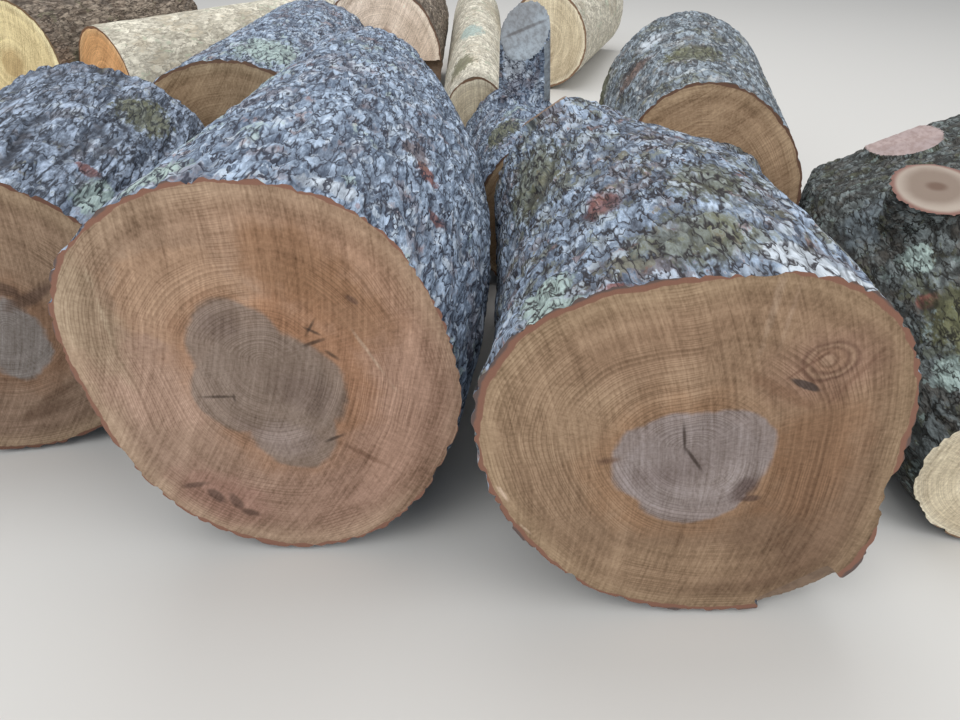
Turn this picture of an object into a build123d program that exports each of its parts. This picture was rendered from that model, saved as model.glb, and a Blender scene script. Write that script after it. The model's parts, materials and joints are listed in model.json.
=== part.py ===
from build123d import *
from math import cos, radians, sin, pi
import os

import numpy as np

# A heap of felled logs on level ground, in millimetres.
# X runs to the right, Y to the back, Z up. Every log lies on its side.
# A log's near end faces the front of the heap, turned by its own angle to the right.
# Each log after the first is pushed along one direction until it rests against the heap.

# Clearance left where a log rests against its neighbour
rest_gap = 0.6
# How far back a log starts before it is pushed in
push_start = 350.0

# Front left log, the tallest, with a swelling behind its sawn face
front_left_x = -313.0
front_left_y = 923.0
front_left_turn = -1.0
front_left_length = 1270.0
front_left_width = 588.0
front_left_height = 681.0
front_left_swell_width = 650.0
front_left_swell_shift = 28.0
front_left_far_width = 550.0
front_left_far_height = 660.0
front_left_radii = (297, 303, 333, 341, 350, 334, 285, 285, 312, 334, 325, 299)

# Front right log, the nearest one
front_right_x = 312.0
front_right_y = 789.0
front_right_length = 1010.0
front_right_width = 598.0
front_right_height = 607.0
front_right_middle_width = 600.0
front_right_middle_height = 600.0
front_right_middle_shift = 34.0
front_right_far_width = 680.0
front_right_far_height = 560.0
front_right_far_shift = 78.0
front_right_radii = (294, 317, 329, 299, 315, 334, 298, 273, 276, 299, 334, 344)
front_right_far_radii = (340, 320, 228, 233, 326, 345, 343, 318, 293, 282, 297, 325)
# Second, slanting cut that trims the upper left of its far end
trim_side = -182.0
trim_drop = 63.0
trim_roll = 34.0
trim_slope = 15.5
# Step of torn hinge wood at the lower right edge of its face
hinge_angle = -51.0
hinge_reach = 332.0
hinge_depth = 14.0
hinge_width = 130.0
hinge_height = 28.0

# Far left log, widening to the back
far_left_x = -870.0
far_left_y = 1200.0
far_left_turn = -10.0
far_left_length = 850.0
far_left_width = 560.0
far_left_height = 590.0
far_left_far_width = 640.0
far_left_far_height = 600.0

# Middle left log, behind the two on the left
middle_left_x = -750.0
middle_left_y = 2200.0
middle_left_length = 1300.0
middle_left_width = 660.0
middle_left_height = 575.0
middle_left_far_width = 640.0
middle_left_far_height = 560.0

# Forked log in the middle, with a sawn limb standing near its far end
forked_x = 150.0
forked_y = 1760.0
forked_turn = -3.0
forked_length = 740.0
forked_width = 350.0
forked_height = 420.0
forked_far_width = 370.0
forked_far_height = 395.0
limb_diameter = 180.0
limb_taper = 1.5
limb_length = 560.0
limb_lean = 8.0
limb_along = 520.0
limb_side = 22.0
limb_root = 150.0
# Slanting cut across the limb
limb_cut_along = 535.0
limb_cut_height = 558.0
limb_cut_roll = 12.0
limb_cut_slope = 38.0

# Back right log, thickening to the back
back_right_x = 560.0
back_right_y = 1800.0
back_right_turn = 9.5
back_right_length = 1050.0
back_right_width = 482.0
back_right_height = 597.0
back_right_far_width = 600.0
back_right_far_height = 600.0

# Crotch log on the right, with a sawn branch and a slice off its shoulder
crotch_x = 898.0
crotch_y = 930.0
crotch_turn = 15.0
crotch_length = 1180.0
crotch_width = 335.0
crotch_height = 300.0
crotch_middle_width = 600.0
crotch_middle_height = 500.0
crotch_middle_shift = -20.0
crotch_far_width = 520.0
crotch_far_height = 500.0
branch_diameter = 170.0
branch_along = 538.0
branch_side = -142.0
branch_top = 500.0
branch_root = 200.0
branch_lean = 17.0
slice_along = 570.0
slice_side = -160.0
slice_top = 456.0
slice_roll = 28.0
slice_slope = 11.0
slice_block = 800.0

# Pale log that runs straight back behind the forked one
pale_x = -20.0
pale_y = 2560.0
pale_length = 2440.0
pale_width = 270.0
pale_height = 420.0
pale_far_width = 300.0
pale_far_height = 430.0

# Notched log behind the middle left one, with an undercut in its near end
notched_x = -455.0
notched_y = 3500.0
notched_length = 1220.0
notched_width = 580.0
notched_height = 620.0
notched_far_width = 560.0
notched_far_height = 600.0
notch_top = 300.0
notch_bottom = 60.0
notch_depth = 70.0

# Back middle log, beside the pale one
back_middle_x = 400.0
back_middle_y = 4300.0
back_middle_turn = 18.0
back_middle_length = 1220.0
back_middle_width = 460.0
back_middle_height = 500.0

# Two logs at the back left
back_left_x = -1720.0
back_left_y = 3500.0
back_left_turn = 35.0
back_left_length = 1350.0
back_left_width = 400.0
back_left_height = 450.0
corner_x = -2140.0
corner_y = 3560.0
corner_turn = 12.0
corner_length = 1220.0
corner_width = 510.0
corner_height = 560.0

# Points around an outline, and how far a plain log's section differs from round
outline_points = 12
# Bands that a log's side is lofted in
bands = 6
slight_oval = 0.03
slight_lobe = 0.025
# Side of the block that a saw cut takes away
cut_block = 420.0
# Facets used to find where two logs touch
facet_tolerance = 0.05
facet_angle = 0.12


def near_plane(x, y, turn=0.0):
    """Plane of a log's near end: local x to the right, local y up, its normal to the front."""
    a = radians(turn)
    return Plane(origin=(x, y, 0), x_dir=(cos(a), -sin(a), 0), z_dir=(-sin(a), -cos(a), 0))


def uneven(phase):
    """Radii of a nearly round section, oval and lobed by small shares."""
    steps = [2 * pi * k / outline_points for k in range(outline_points)]
    return [1 + slight_oval * cos(2 * t - phase) + slight_lobe * cos(3 * t + phase) for t in steps]


def outline(radii, width, height, shift):
    """Points of one section, as wide and as high as asked, resting on its lowest point."""
    count = len(radii)
    xs = [r * cos(2 * pi * k / count) for k, r in enumerate(radii)]
    ys = [r * sin(2 * pi * k / count) for k, r in enumerate(radii)]
    middle = (max(xs) + min(xs)) / 2
    wide = width / (max(xs) - min(xs))
    high = height / (max(ys) - min(ys))
    return [(shift + (x - middle) * wide, (y - min(ys)) * high) for x, y in zip(xs, ys)]


def blend(near, middle, far, t):
    """Value at the share t of a length, on the curve through three values."""
    return near * (1 - t) * (1 - 2 * t) + middle * 4 * t * (1 - t) + far * t * (2 * t - 1)


def lofted(near, length, near_section, far_section, middle_section=None):
    """Log lofted from its near section to its far one, each of (radii, width, height, shift)."""
    first, last = (np.array(outline(*section)) for section in (near_section, far_section))
    middle = np.array(outline(*middle_section)) if middle_section else (first + last) / 2
    with BuildPart() as log:
        for k in range(bands + 1):
            share = k / bands
            with BuildSketch(near.offset(-length * share)):
                with BuildLine():
                    Spline(*blend(first, middle, last, share), periodic=True)
                make_face()
        loft(ruled=True)
    return log.part


def cut_plane(near, along, side, height, roll, slope):
    """Plane on a log: normal up, rolled to the left and sloped to the front, y away from the front."""
    at = near.from_local_coords(Vector(side, height, -along))
    up = near.y_dir.rotate(Axis((0, 0, 0), near.z_dir), roll)
    normal = up.rotate(Axis((0, 0, 0), near.x_dir), slope)
    return Plane(origin=at, x_dir=normal.cross(near.z_dir), z_dir=normal)


def facets(log, way):
    """Corners, triangles and edges of a log's facets, with the third coordinate along the way."""
    view = Plane(origin=(0, 0, 0), z_dir=way)
    axes = np.array([tuple(axis) for axis in (view.x_dir, view.y_dir, view.z_dir)])
    corners, triangles = log.tessellate(facet_tolerance, facet_angle)
    points = np.array([tuple(corner) for corner in corners]) @ axes.T
    triangles = np.array(triangles)
    sides = np.vstack([triangles[:, [0, 1]], triangles[:, [1, 2]], triangles[:, [2, 0]]])
    return points, triangles, np.unique(np.sort(sides, axis=1), axis=0)


def inside(corners, shapes, low, high):
    """Corner positions of the facets or edges that reach into the window seen along the way."""
    at = corners[shapes]
    reach = (at.max(axis=1)[:, :2] >= low).all(axis=1) & (at.min(axis=1)[:, :2] <= high).all(axis=1)
    return at[reach]


def cross(p, q):
    """Size of the cross product of two vectors as seen along the way, never zero."""
    size = p[..., 0] * q[..., 1] - p[..., 1] * q[..., 0]
    return np.where(abs(size) < 1e-9, 1e-9, size)


def depth_over(points, triangles):
    """Depth of each triangle over each point, as seen along the way, not a number beside it."""
    a, b, c = (triangles[:, None, k] for k in range(3))
    across = cross(b - a, c - a)
    u = cross(points - a, c - a) / across
    v = cross(b - a, points - a) / across
    depth = a[..., 2] + u * (b - a)[..., 2] + v * (c - a)[..., 2]
    return np.where((u >= 0) & (v >= 0) & (u + v <= 1), depth, np.nan)


def travel(moving, standing, most):
    """How far moving facets can go along the way before they touch standing ones, or the most."""
    own, own_triangles, own_edges = moving
    far, far_triangles, far_edges = standing
    low = np.maximum(own.min(axis=0), far.min(axis=0))[:2]
    high = np.minimum(own.max(axis=0), far.max(axis=0))[:2]
    if (low > high).any() or far[:, 2].min() - own[:, 2].max() > most:
        return most
    a, b = inside(own, own_edges, low, high).transpose(1, 0, 2)[:, :, None]
    c, d = inside(far, far_edges, low, high).transpose(1, 0, 2)[:, None]
    s = cross(c - a, d - c) / cross(b - a, d - c)
    t = cross(c - a, b - a) / cross(b - a, d - c)
    meets = (s >= 0) & (s <= 1) & (t >= 0) & (t <= 1)
    gaps = [np.where(meets, (c + t[..., None] * (d - c) - a - s[..., None] * (b - a))[..., 2], np.nan),
            depth_over(own, inside(far, far_triangles, low, high)) - own[:, 2],
            far[:, 2] - depth_over(far, inside(own, own_triangles, low, high))]
    return min(gap[gap > 0].min(initial=most) for gap in gaps)


def push(log, direction):
    """Set the log on the ground and push it along the direction until it rests on the heap."""
    way = Vector(*direction).normalized()
    log = log.moved(Location(way * -push_start - Vector(0, 0, log.bounding_box().min.Z)))
    moving = facets(log, way)
    standing = [facets(other, way) for other in heap.values()]
    free = np.inf
    for other in sorted(standing, key=lambda faced: faced[0][:, 2].min()):
        free = travel(moving, other, free)
    return log.moved(Location(way * (free - rest_gap)))


heap = {}

front_left_near = near_plane(front_left_x, front_left_y, front_left_turn)
with BuildPart() as front_left_log:
    add(lofted(
        front_left_near, front_left_length,
        (front_left_radii, front_left_width, front_left_height, 0),
        (uneven(1.4), front_left_far_width, front_left_far_height, 0),
        (uneven(0.6), front_left_swell_width, front_left_height, front_left_swell_shift),
    ))
ground = front_left_log.part.bounding_box().min.Z
heap["front_left_log"] = front_left_log.part.moved(Location((0, 0, -ground)))

front_right_near = near_plane(front_right_x, front_right_y)
with BuildPart() as front_right_log:
    add(lofted(
        front_right_near, front_right_length,
        (front_right_radii, front_right_width, front_right_height, 0),
        (front_right_far_radii, front_right_far_width, front_right_far_height,
         front_right_far_shift),
        (uneven(2.2), front_right_middle_width, front_right_middle_height,
         front_right_middle_shift),
    ))
    trim_height = front_right_far_height - trim_drop
    with Locations(cut_plane(front_right_near, front_right_length, trim_side, trim_height,
                             trim_roll, -trim_slope)):
        Box(cut_block, cut_block, cut_block, align=(Align.CENTER, Align.CENTER, Align.MIN),
            mode=Mode.SUBTRACT)
    hinge_x = hinge_reach * cos(radians(hinge_angle))
    hinge_y = front_right_height / 2 + hinge_reach * sin(radians(hinge_angle))
    with Locations(front_right_near * Location((hinge_x, hinge_y, 0), (0, 0, hinge_angle))):
        Box(hinge_height * 2, hinge_width, hinge_depth * 2, mode=Mode.SUBTRACT)
heap["front_right_log"] = push(front_right_log.part, (-1, 0, 0))

far_left_near = near_plane(far_left_x, far_left_y, far_left_turn)
with BuildPart() as far_left_log:
    add(lofted(
        far_left_near, far_left_length,
        (uneven(0.9), far_left_width, far_left_height, 0),
        (uneven(0.3), far_left_far_width, far_left_far_height, 0),
    ))
heap["far_left_log"] = push(far_left_log.part, (1, 0, 0))

middle_left_near = near_plane(middle_left_x, middle_left_y)
with BuildPart() as middle_left_log:
    add(lofted(
        middle_left_near, middle_left_length,
        (uneven(3.0), middle_left_width, middle_left_height, 0),
        (uneven(2.5), middle_left_far_width, middle_left_far_height, 0),
    ))
heap["middle_left_log"] = push(middle_left_log.part, (0, -1, 0))

forked_near = near_plane(forked_x, forked_y, forked_turn)
with BuildPart() as forked_log:
    add(lofted(
        forked_near, forked_length,
        (uneven(1.1), forked_width, forked_height, 0),
        (uneven(1.9), forked_far_width, forked_far_height, 0),
    ))
    limb_plane = cut_plane(forked_near, limb_along, limb_side, limb_root, 0, -limb_lean)
    with BuildSketch(limb_plane):
        Circle(limb_diameter / 2)
    extrude(amount=limb_length, taper=limb_taper)
    with Locations(cut_plane(forked_near, limb_cut_along, limb_side, limb_cut_height,
                             limb_cut_roll, limb_cut_slope)):
        Box(cut_block, cut_block, cut_block, align=(Align.CENTER, Align.CENTER, Align.MIN),
            mode=Mode.SUBTRACT)
heap["forked_log"] = push(forked_log.part, (0, -1, 0))

back_right_near = near_plane(back_right_x, back_right_y, back_right_turn)
with BuildPart() as back_right_log:
    add(lofted(
        back_right_near, back_right_length,
        (uneven(0.2), back_right_width, back_right_height, 0),
        (uneven(1.0), back_right_far_width, back_right_far_height, 0),
    ))
heap["back_right_log"] = push(back_right_log.part, (-0.3, -1, 0))

crotch_near = near_plane(crotch_x, crotch_y, crotch_turn)
with BuildPart() as crotch_log:
    add(lofted(
        crotch_near, crotch_length,
        (uneven(0.5), crotch_width, crotch_height, 0),
        (uneven(2.8), crotch_far_width, crotch_far_height, 0),
        (uneven(1.5), crotch_middle_width, crotch_middle_height, crotch_middle_shift),
    ))
    branch_plane = cut_plane(crotch_near, branch_along, branch_side, branch_root, 0, branch_lean)
    with BuildSketch(branch_plane):
        Circle(branch_diameter / 2)
    extrude(amount=branch_top - branch_root)
    with Locations(cut_plane(crotch_near, slice_along, slice_side, slice_top, slice_roll,
                             -slice_slope)):
        Box(slice_block, slice_block, slice_block, align=(Align.CENTER, Align.MIN, Align.MIN),
            mode=Mode.SUBTRACT)
heap["crotch_log"] = push(crotch_log.part, (-1, 0, 0))

pale_near = near_plane(pale_x, pale_y)
with BuildPart() as pale_log:
    add(lofted(
        pale_near, pale_length,
        (uneven(1.7), pale_width, pale_height, 0),
        (uneven(0.8), pale_far_width, pale_far_height, 0),
    ))
heap["pale_log"] = push(pale_log.part, (0, -1, 0))

notched_near = near_plane(notched_x, notched_y)
with BuildPart() as notched_log:
    add(lofted(
        notched_near, notched_length,
        (uneven(2.4), notched_width, notched_height, 0),
        (uneven(0.4), notched_far_width, notched_far_height, 0),
    ))
    with BuildSketch(Plane(origin=notched_near.origin, x_dir=(0, 1, 0), z_dir=(1, 0, 0))):
        with BuildLine():
            Polyline((0, notch_bottom), (0, notch_top), (notch_depth, notch_top), close=True)
        make_face()
    extrude(amount=notched_width, both=True, mode=Mode.SUBTRACT)
heap["notched_log"] = push(notched_log.part, (0, -1, 0))

back_middle_near = near_plane(back_middle_x, back_middle_y, back_middle_turn)
with BuildPart() as back_middle_log:
    add(lofted(
        back_middle_near, back_middle_length,
        (uneven(1.3), back_middle_width, back_middle_height, 0),
        (uneven(2.7), back_middle_width, back_middle_height, 0),
    ))
heap["back_middle_log"] = push(back_middle_log.part, (-1, 0, 0))

back_left_near = near_plane(back_left_x, back_left_y, back_left_turn)
with BuildPart() as back_left_log:
    add(lofted(
        back_left_near, back_left_length,
        (uneven(0.7), back_left_width, back_left_height, 0),
        (uneven(2.1), back_left_width, back_left_height, 0),
    ))
heap["back_left_log"] = push(back_left_log.part, (1, 0, 0))

corner_near = near_plane(corner_x, corner_y, corner_turn)
with BuildPart() as corner_log:
    add(lofted(
        corner_near, corner_length,
        (uneven(1.8), corner_width, corner_height, 0),
        (uneven(0.1), corner_width, corner_height, 0),
    ))
heap["corner_log"] = push(corner_log.part, (1, 0, 0))

# The origin is the middle of the heap's footprint, on the ground
extent = Compound(children=[log.solid() for log in heap.values()]).bounding_box()
to_origin = Location((-extent.center().X, -extent.center().Y, -extent.min.Z))

os.makedirs("parts", exist_ok=True)
for name, log in heap.items():
    placed = log.moved(to_origin)
    placed.label = name
    export_step(placed, f"parts/{name}.step")
    box = placed.bounding_box()
    print(name, [round(v) for v in (box.min.X, box.min.Y, box.max.X, box.max.Y, box.max.Z)])
print("origin moved by", [round(v, 2) for v in to_origin.position])
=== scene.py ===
import json
import math

import bpy
import numpy as np
from mathutils import Matrix, Vector
from mathutils.bvhtree import BVHTree

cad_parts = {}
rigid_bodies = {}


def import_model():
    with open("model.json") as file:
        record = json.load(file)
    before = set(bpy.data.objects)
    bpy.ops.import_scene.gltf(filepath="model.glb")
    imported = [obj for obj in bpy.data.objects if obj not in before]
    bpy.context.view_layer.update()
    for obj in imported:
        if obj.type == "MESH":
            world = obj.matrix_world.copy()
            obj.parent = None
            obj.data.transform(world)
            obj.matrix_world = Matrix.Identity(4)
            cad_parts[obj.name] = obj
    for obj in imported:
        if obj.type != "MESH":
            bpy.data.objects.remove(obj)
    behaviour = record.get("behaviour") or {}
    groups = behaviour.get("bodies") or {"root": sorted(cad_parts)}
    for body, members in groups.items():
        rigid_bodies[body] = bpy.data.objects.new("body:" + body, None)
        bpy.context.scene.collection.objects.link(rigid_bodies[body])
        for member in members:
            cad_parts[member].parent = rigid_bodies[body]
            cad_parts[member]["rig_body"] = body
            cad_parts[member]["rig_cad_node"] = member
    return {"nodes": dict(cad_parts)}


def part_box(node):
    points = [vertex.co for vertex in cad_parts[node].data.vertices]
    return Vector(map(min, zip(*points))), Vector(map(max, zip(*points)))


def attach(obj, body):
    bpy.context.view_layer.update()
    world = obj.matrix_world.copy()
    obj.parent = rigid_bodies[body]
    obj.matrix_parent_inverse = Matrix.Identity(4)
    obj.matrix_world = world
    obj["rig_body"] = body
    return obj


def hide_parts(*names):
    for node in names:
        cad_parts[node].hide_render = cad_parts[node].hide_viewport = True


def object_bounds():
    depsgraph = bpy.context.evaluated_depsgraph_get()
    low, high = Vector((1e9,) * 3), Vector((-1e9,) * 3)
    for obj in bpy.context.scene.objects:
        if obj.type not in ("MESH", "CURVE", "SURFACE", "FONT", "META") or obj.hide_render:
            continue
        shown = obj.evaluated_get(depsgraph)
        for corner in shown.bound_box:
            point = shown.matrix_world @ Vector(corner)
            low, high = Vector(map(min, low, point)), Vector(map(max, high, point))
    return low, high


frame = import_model()
first_bounds = [list(corner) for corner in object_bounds()]

bl_info = {
    "name": "Log heap",
    "version": (1, 0, 0),
    "blender": (4, 5, 0),
    "location": "View3D > Sidebar > Log heap",
    "description": "Bark and sawn faces for a heap of felled logs",
    "category": "Object",
}

# Places on a log are (right, up, along) in metres, from the ground under the middle of its near
# face, and colours are 8-bit or named in the settings
# turn: degrees that the log's near face is turned to the right
# step: size of the bark mesh as a share of the setting
# relief, plate, stretch: bark depth and ridge width as shares of the settings, and the ridges'
# length over their width
# pith: (right, up) of the middle of the growth rings
# slot: material slot of the part. bark, face, cut: which of the tables below the log has
# outline: metres from the end between which the outline of a face is taken, if not the usual ones
# clean: where the flat cuts are bare wood, and still: where the bark has no relief (centre, size)
# spots and cut marks: colour, strength, centre, size, turn in degrees, softness and raggedness
LOGS = {
    "front_left_log": {
        "turn": -1, "step": 1.0, "relief": 1.0, "plate": 1.0, "stretch": 3.2,
        "pith": (-0.004, 0.397), "slot": "grey_bark_wood", "bark": "scaly", "face": "front left",
        "spots": [
            ("bare", 0.9, (0.239, 0.585, 0.295), (0.026, 0.026, 0.03), 0, 0.2, 1.8),
            ("bare", 0.85, (0.257, 0.55, 0.183), (0.018, 0.018, 0.016), 0, 0.2, 1.8),
            ("rust", 0.6, (0.221, 0.605, 0.34), (0.03, 0.03, 0.05)),
            ("white", 0.6, (0.119, 0.659, 0.038), (0.05, 0.03, 0.024), 0, 0.2, 1.8),
            ("lichen", 0.9, (-0.126, 0.666, 0.064), (0.05, 0.04, 0.05)),
            ("lichen", 0.85, (-0.18, 0.62, 0.35), (0.05, 0.05, 0.16), 0, 0.22, 2.2),
            ("lichen", 0.8, (-0.16, 0.62, 0.8), (0.06, 0.05, 0.2), 0, 0.22, 2.2),
            ("rust", 0.6, (0.1, 0.62, 0.7), (0.04, 0.04, 0.05)),
        ],
    },
    "front_right_log": {
        "turn": 0, "step": 0.95, "relief": 1.0, "plate": 1.0, "stretch": 3.0,
        "pith": (0.0, 0.341), "slot": "brown_bark_wood", "bark": "mossy", "face": "front right",
        "still": [((0.21, 0.075, 0.0), (0.11, 0.1, 0.045))],
        "spots": [
            ("white", 0.9, (0.135, 0.605, 0.0), (0.07, 0.05, 0.035), 0, 0.1, 0.8),
            ("white", 0.9, (0.098, 0.615, 0.05), (0.045, 0.04, 0.035), 0, 0.1, 0.9),
            ("lichen", 0.9, (-0.205, 0.562, 0.008), (0.04, 0.04, 0.03), 0, 0.2, 1.8),
            ("lichen", 0.9, (-0.208, 0.539, 0.09), (0.04, 0.04, 0.06), 0, 0.2, 1.8),
            ("bare", 0.8, (-0.099, 0.571, 0.333), (0.03, 0.03, 0.05), 0, 0.4, 1.8),
            ("bare", 0.8, (-0.12, 0.573, 0.0), (0.04, 0.03, 0.018), 0, 0.2, 1.8),
            ("moss", 0.7, (-0.006, 0.617, 0.107), (0.07, 0.04, 0.07), 0, 0.3, 2.6),
            ("moss", 0.7, (0.06, 0.6, 0.3), (0.06, 0.04, 0.09), 0, 0.3, 2.6),
            ("moss", 0.75, (-0.184, 0.468, 0.713), (0.08, 0.08, 0.14), 0, 0.3, 2.6),
        ],
    },
    "far_left_log": {
        "turn": -10, "step": 1.25, "relief": 1.3, "plate": 1.15, "stretch": 4.5,
        "pith": (0.01, 0.29), "slot": "grey_bark_wood", "bark": "furrowed", "face": "far left",
        "spots": [
            ("moss", 0.8, (0.199, 0.517, 0.619), (0.07, 0.06, 0.1)),
            ("bare", 0.75, (0.172, 0.527, 0.195), (0.025, 0.025, 0.02)),
            ("lichen", 0.85, (0.202, 0.496, 0.11), (0.04, 0.04, 0.07)),
        ],
    },
    "middle_left_log": {
        "turn": 0, "step": 1.6, "relief": 1.0, "plate": 1.1, "stretch": 3.5,
        "pith": (0.02, 0.3), "slot": "grey_bark_wood", "bark": "scaly", "face": "tan",
        "spots": [
            ("lichen", 0.85, (0.12, 0.56, 0.2), (0.1, 0.06, 0.16)),
        ],
    },
    "forked_log": {
        "turn": -3, "step": 1.15, "relief": 0.9, "plate": 0.9, "stretch": 3.0,
        "pith": (0.0, 0.2), "slot": "grey_bark_wood", "bark": "scaly", "face": "tan",
        "cut": "grey",
        "spots": [
            ("moss", 0.85, (-0.08, 0.383, 0.225), (0.06, 0.05, 0.09)),
            ("white", 0.8, (-0.03, 0.517, 0.51), (0.05, 0.06, 0.04), 0, 0.22, 1.8),
        ],
        "cut marks": [
            ("crack", 0.5, (0.02, 0.594, 0.58), (0.07, 0.004, 0.08), 20, 0.5, 0.6),
        ],
    },
    "back_right_log": {
        "turn": 9.5, "step": 1.35, "relief": 0.8, "plate": 1.1, "stretch": 3.5,
        "pith": (0.0, 0.31), "slot": "grey_bark_wood", "bark": "plated", "face": "pale tan",
        "spots": [
            ("moss", 0.85, (-0.294, 0.325, 1.0), (0.07, 0.1, 0.16), 0, 0.22, 1.8),
            ("moss", 0.8, (-0.052, 0.596, 0.351), (0.08, 0.04, 0.1)),
            ("white", 0.8, (-0.146, 0.555, 0.721), (0.06, 0.04, 0.07), 0, 0.3, 1.0),
            ("rust", 0.8, (-0.2, 0.5, 0.51), (0.07, 0.07, 0.06), 0, 0.3, 0.8),
            ("crack", 0.7, (-0.21, 0.49, 0.6), (0.045, 0.045, 0.035), 0, 0.3, 0.8),
        ],
    },
    "crotch_log": {
        "turn": 15, "step": 1.15, "relief": 0.9, "plate": 0.9, "stretch": 3.0,
        "pith": (0.0, 0.14), "slot": "brown_bark_wood", "bark": "dark", "face": "cream",
        "cut": "pink",
        "clean": [
            ((-0.142, 0.488, 0.45), (0.13, 0.1, 0.13)), ((-0.07, 0.42, 1.08), (0.075, 0.2, 0.27)),
        ],
        "spots": [
            ("lichen", 0.95, (-0.169, 0.389, 0.347), (0.032, 0.032, 0.036), 0, 0.12, 1.8),
            ("lichen", 0.9, (-0.138, 0.294, 0.093), (0.03, 0.034, 0.034), 0, 0.12, 1.8),
            ((122, 134, 142), 0.6, (-0.233, 0.384, 0.521), (0.06, 0.06, 0.07), 0, 0.2, 1.6),
            ("bare", 0.8, (-0.164, 0.351, 0.243), (0.02, 0.02, 0.016), 0, 0.3, 1.6),
            ("moss", 0.9, (-0.12, 0.38, 0.15), (0.09, 0.07, 0.1)),
            ("moss", 0.9, (0.02, 0.42, 0.5), (0.1, 0.06, 0.2), 0, 0.22, 2.2),
        ],
        "cut marks": [
            ((126, 92, 82), 0.95, (-0.142, 0.488, 0.45), (0.11, 0.06, 0.11), 0, 0.1, 0.2),
            ((168, 156, 144), 0.95, (-0.142, 0.488, 0.45), (0.072, 0.06, 0.076), 0, 0.08, 0.2),
            ((128, 112, 100), 0.9, (-0.142, 0.488, 0.455), (0.055, 0.06, 0.056), 0, 0.3, 1.0),
            ((100, 78, 66), 0.8, (-0.14, 0.488, 0.455), (0.016, 0.04, 0.012), 0, 0.5, 1.2),
            ("crack", 0.8, (-0.145, 0.41, 0.74), (0.025, 0.04, 0.02), 0, 0.4, 0.8),
        ],
    },
    "pale_log": {
        "turn": 0, "step": 2.0, "relief": 0.3, "plate": 1.4, "stretch": 2.0,
        "pith": (0.0, 0.2), "slot": "pale_bark_wood", "bark": "smooth", "face": "cream",
        "spots": [
            ("lichen", 0.9, (-0.024, 0.419, 0.897), (0.06, 0.04, 0.14)),
            ("moss", 0.8, (-0.055, 0.395, 0.293), (0.06, 0.05, 0.12)),
        ],
    },
    "notched_log": {
        "turn": 0, "step": 1.8, "relief": 0.8, "plate": 1.1, "stretch": 3.5,
        "pith": (0.03, 0.35), "slot": "brown_bark_wood", "bark": "brown", "face": "pink tan",
        "outline": (0.08, 0.12),
    },
    "back_middle_log": {
        "turn": 18, "step": 2.0, "relief": 0.3, "plate": 1.4, "stretch": 2.0,
        "pith": (0.02, 0.25), "slot": "pale_bark_wood", "bark": "smooth", "face": "cream",
    },
    "back_left_log": {
        "turn": 35, "step": 2.0, "relief": 0.3, "plate": 1.4, "stretch": 2.0,
        "pith": (0.0, 0.22), "slot": "pale_bark_wood", "bark": "smooth", "face": "orange",
    },
    "corner_log": {
        "turn": 12, "step": 2.0, "relief": 0.9, "plate": 1.2, "stretch": 3.5,
        "pith": (0.0, 0.28), "slot": "brown_bark_wood", "bark": "brown", "face": "yellow",
    },
}

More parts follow.
